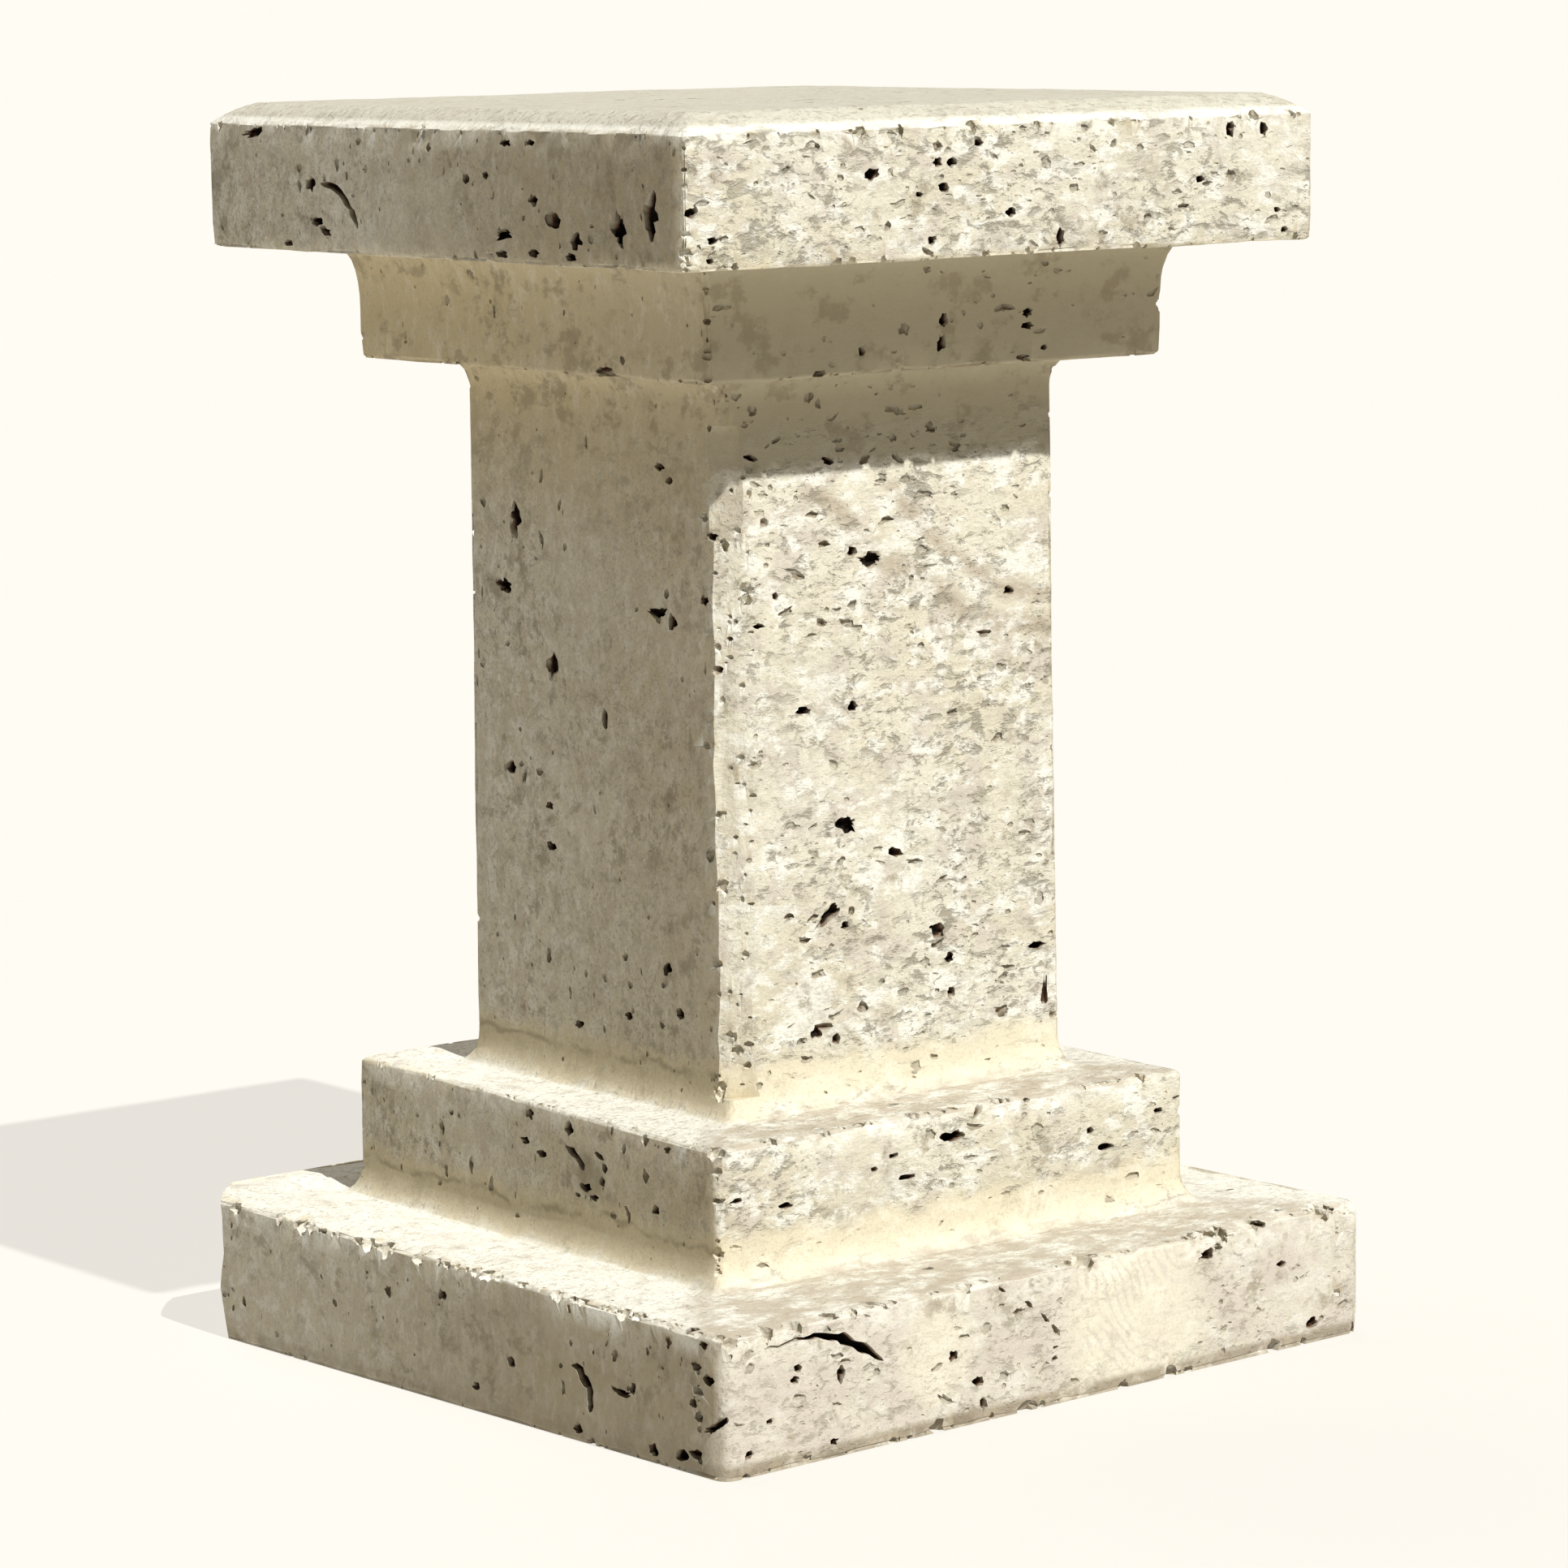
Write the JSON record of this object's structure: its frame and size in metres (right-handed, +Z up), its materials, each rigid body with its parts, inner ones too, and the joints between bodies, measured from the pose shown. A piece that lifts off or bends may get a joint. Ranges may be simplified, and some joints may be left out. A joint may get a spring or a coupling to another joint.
{
  "type": "stone pedestal",
  "caption": "Low square pedestal carved from one block of pitted stone, with a stepped foot, plain shaft, coved neck and thick slab top to stand a pot or figure on.",
  "frame": {"origin": "centre of the flat underside of the foot, on the surface that the pedestal stands on", "axes": "+Z up through the middle of the shaft to the top bed; -Y out of the front face; +X to the right seen from the front"},
  "size_m": [0.4315, 0.4326, 0.61],
  "materials": {
    "travertine": "weathered, pitted, matt cream travertine"
  },
  "bodies": {
    "root": {"pedestal": "travertine"}
  },
  "joints": []
}
